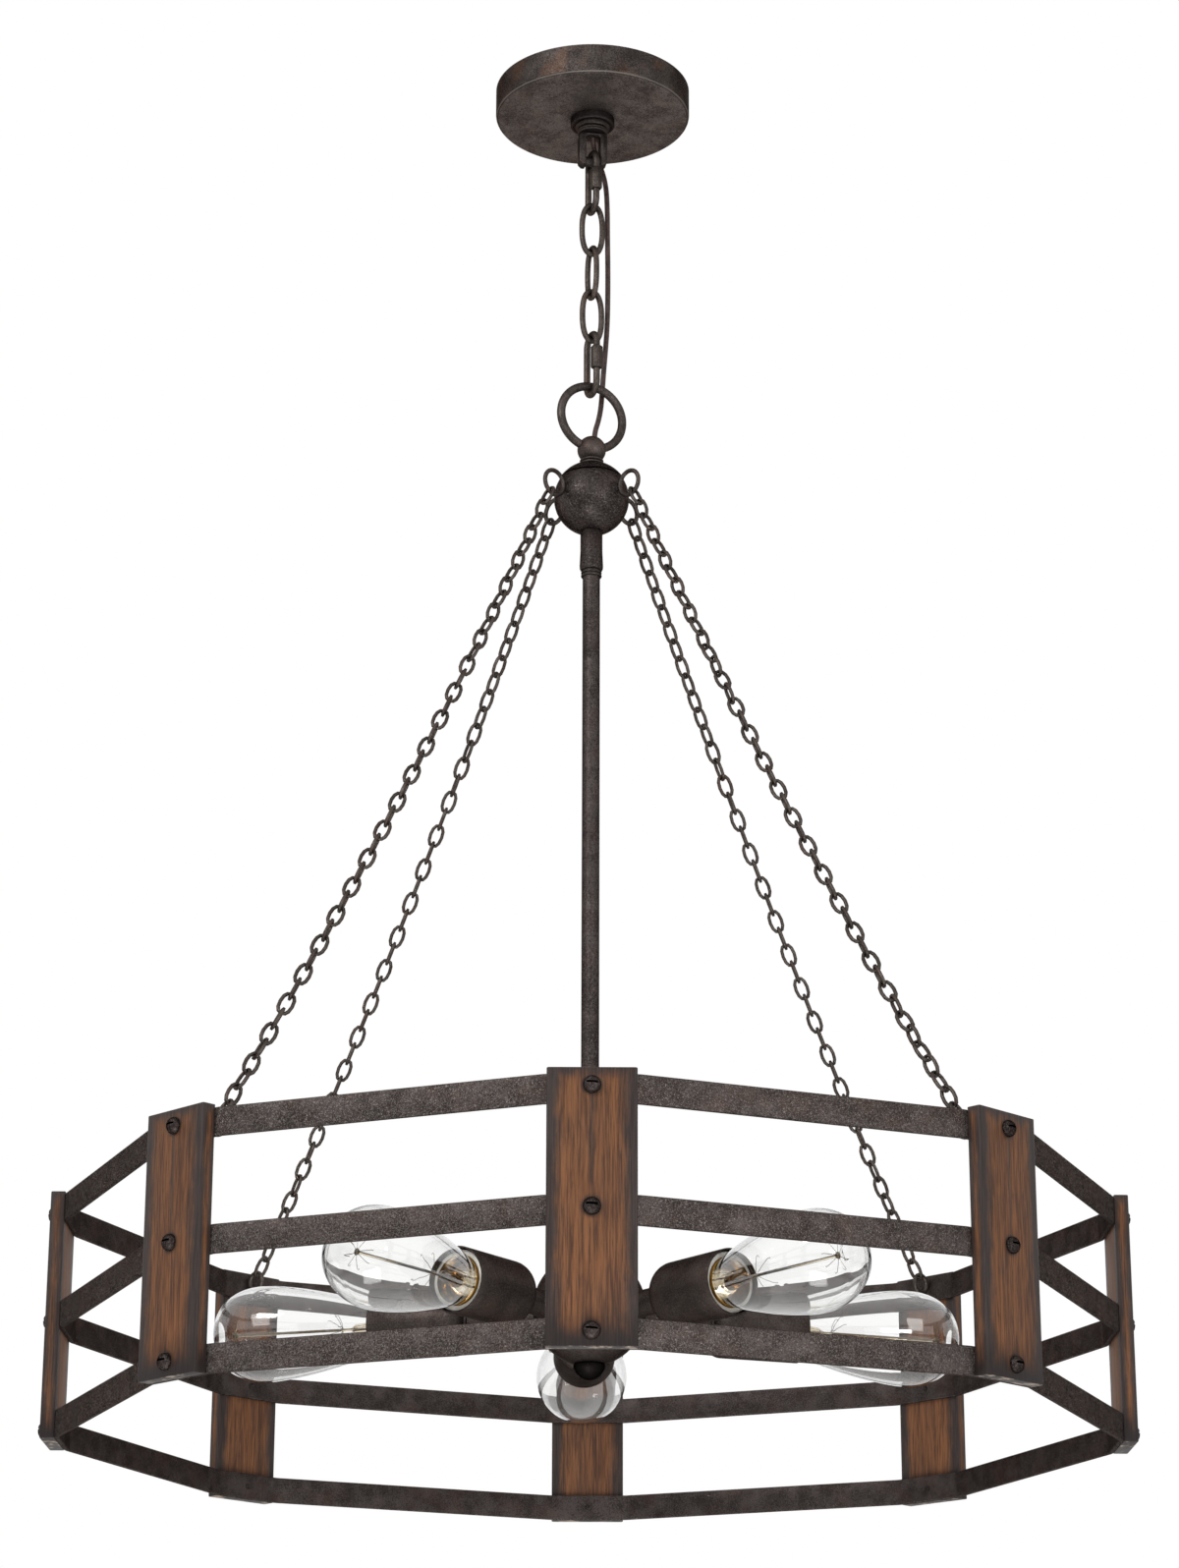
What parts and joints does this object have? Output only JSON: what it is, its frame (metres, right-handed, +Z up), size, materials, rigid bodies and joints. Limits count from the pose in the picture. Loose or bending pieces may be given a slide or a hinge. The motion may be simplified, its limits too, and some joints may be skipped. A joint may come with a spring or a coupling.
{
  "type": "pendant chandelier",
  "caption": "Wagon wheel chandelier: wooden staves screwed round flat metal hoops, hung by chains from a ball on a centre rod that carries a hub of outward bulbs under a round canopy.",
  "frame": {"origin": "middle of the ceiling plane, on the top face of the ceiling crossbar and the rim of the canopy", "axes": "+Z up to the ceiling, +X to the right along the crossbar, -Y towards the viewer in front of the front stave"},
  "size_m": [0.6594, 0.6594, 0.911],
  "materials": {
    "dark_bronze": "hammered, dark bronze, satin with fine bright speckle",
    "hammered_iron": "hammered, aged iron grey brown, satin",
    "zinc_steel": "zinc plated, satin",
    "walnut_board": "walnut stain with dark burnished edges, matt varnish",
    "brass": "bare brass, slightly dull",
    "porcelain_white": "off-white socket body, matt",
    "clear_glass": "clear, polished",
    "filament_wire": "thin wire and clear stem",
    "cord_brown": "dark brown lamp cord, slight sheen"
  },
  "bodies": {
    "ceiling_mount": {"ceiling_crossbar": "zinc_steel", "threaded_nipple": "zinc_steel", "nipple_locknut": "zinc_steel", "canopy_loop": "dark_bronze", "cord": "cord_brown"},
    "collar": {"canopy_collar": "dark_bronze"},
    "canopy": {"canopy": "dark_bronze"},
    "upper_quick_link": {"upper_quick_link": "dark_bronze"},
    "upper_nut": {"upper_quick_link_nut": "dark_bronze"},
    "link_1": {"chain_link_1": "dark_bronze"},
    "link_2": {"chain_link_2": "dark_bronze"},
    "link_3": {"chain_link_3": "dark_bronze"},
    "lower_quick_link": {"lower_quick_link": "dark_bronze"},
    "lower_nut": {"lower_quick_link_nut": "dark_bronze"},
    "bulb_1": {"bulb_glass_1": "clear_glass", "bulb_base_1": "brass", "bulb_filament_1": "filament_wire"},
    "bulb_2": {"bulb_glass_2": "clear_glass", "bulb_base_2": "brass", "bulb_filament_2": "filament_wire"},
    "bulb_3": {"bulb_glass_3": "clear_glass", "bulb_base_3": "brass", "bulb_filament_3": "filament_wire"},
    "bulb_4": {"bulb_glass_4": "clear_glass", "bulb_base_4": "brass", "bulb_filament_4": "filament_wire"},
    "bulb_5": {"bulb_glass_5": "clear_glass", "bulb_base_5": "brass", "bulb_filament_5": "filament_wire"},
    "fixture": {"hanging_ring": "dark_bronze", "knob": "dark_bronze", "neck_collar": "dark_bronze", "ball_lid": "dark_bronze", "ball_body": "dark_bronze", "ball_eyes": "dark_bronze", "rod_coupling": "dark_bronze", "rod": "dark_bronze", "hub": "dark_bronze", "hub_finial": "dark_bronze", "lamp_arms": "dark_bronze", "lamp_cups": "dark_bronze", "socket_bodies": "porcelain_white", "socket_shells": "brass", "hoop_eyes": "hammered_iron", "stave_screws": "hammered_iron", "top_hoop": "hammered_iron", "middle_hoop": "hammered_iron", "bottom_hoop": "hammered_iron", "side_chain_front_left": "hammered_iron", "side_chain_front_right": "hammered_iron", "side_chain_back_left": "hammered_iron", "side_chain_back_right": "hammered_iron", "stave_front": "walnut_board", "stave_front_right": "walnut_board", "stave_right": "walnut_board", "stave_back_right": "walnut_board", "stave_back": "walnut_board", "stave_back_left": "walnut_board", "stave_left": "walnut_board", "stave_front_left": "walnut_board"}
  },
  "joints": [
    {"name": "collar_slide", "type": "slide", "parent": "ceiling_mount", "child": "collar", "axis": [0, 0, -1], "range_m": [0, 0.028]},
    {"name": "canopy_slide", "type": "slide", "parent": "ceiling_mount", "child": "canopy", "axis": [0, 0, -1], "range_m": [0, 0.028]},
    {"name": "quick_link_swing", "type": "hinge", "parent": "ceiling_mount", "child": "upper_quick_link", "pos_m": [0, 0, -0.0525], "axis": [0.9848, 0.1736, 0], "range_deg": [-20, 20], "deforming": ["cord"]},
    {"name": "link_1_swing", "type": "hinge", "parent": "upper_quick_link", "child": "link_1", "pos_m": [0, 0, -0.08935], "axis": [-0.342, 0.9397, 0], "range_deg": [-20, 20]},
    {"name": "link_2_swing", "type": "hinge", "parent": "link_1", "child": "link_2", "pos_m": [0, 0, -0.1208], "axis": [0.9781, 0.2079, 0], "range_deg": [-20, 20]},
    {"name": "link_3_swing", "type": "hinge", "parent": "link_2", "child": "link_3", "pos_m": [0, 0, -0.15255], "axis": [-0.4226, 0.9063, 0], "range_deg": [-20, 20]},
    {"name": "lower_quick_link_swing", "type": "hinge", "parent": "link_3", "child": "lower_quick_link", "pos_m": [0, 0, -0.1843], "axis": [0.91, 0.4147, 0], "range_deg": [-20, 20]},
    {"name": "fixture_swing", "type": "hinge", "parent": "lower_quick_link", "child": "fixture", "pos_m": [0, 0, -0.22275], "axis": [-0.4147, 0.91, 0], "range_deg": [-20, 20]},
    {"name": "upper_nut_slide", "type": "slide", "parent": "upper_quick_link", "child": "upper_nut", "axis": [0, 0, -1], "range_m": [0, 0.005]},
    {"name": "lower_nut_slide", "type": "slide", "parent": "lower_quick_link", "child": "lower_nut", "axis": [0, 0, -1], "range_m": [0, 0.005]},
    {"name": "bulb_1_slide", "type": "slide", "parent": "fixture", "child": "bulb_1", "axis": [-0.0209, 0.9998, 0], "range_m": [0, 0.028]},
    {"name": "bulb_2_slide", "type": "slide", "parent": "fixture", "child": "bulb_2", "axis": [-0.9573, 0.289, 0], "range_m": [0, 0.028]},
    {"name": "bulb_3_slide", "type": "slide", "parent": "fixture", "child": "bulb_3", "axis": [-0.5707, -0.8211, 0], "range_m": [0, 0.028]},
    {"name": "bulb_4_slide", "type": "slide", "parent": "fixture", "child": "bulb_4", "axis": [0.6046, -0.7965, 0], "range_m": [0, 0.028]},
    {"name": "bulb_5_slide", "type": "slide", "parent": "fixture", "child": "bulb_5", "axis": [0.9444, 0.3289, 0], "range_m": [0, 0.028]}
  ],
  "couplings": [
    {"joint": "collar_slide", "follows": "canopy_slide", "ratio": 1}
  ]
}
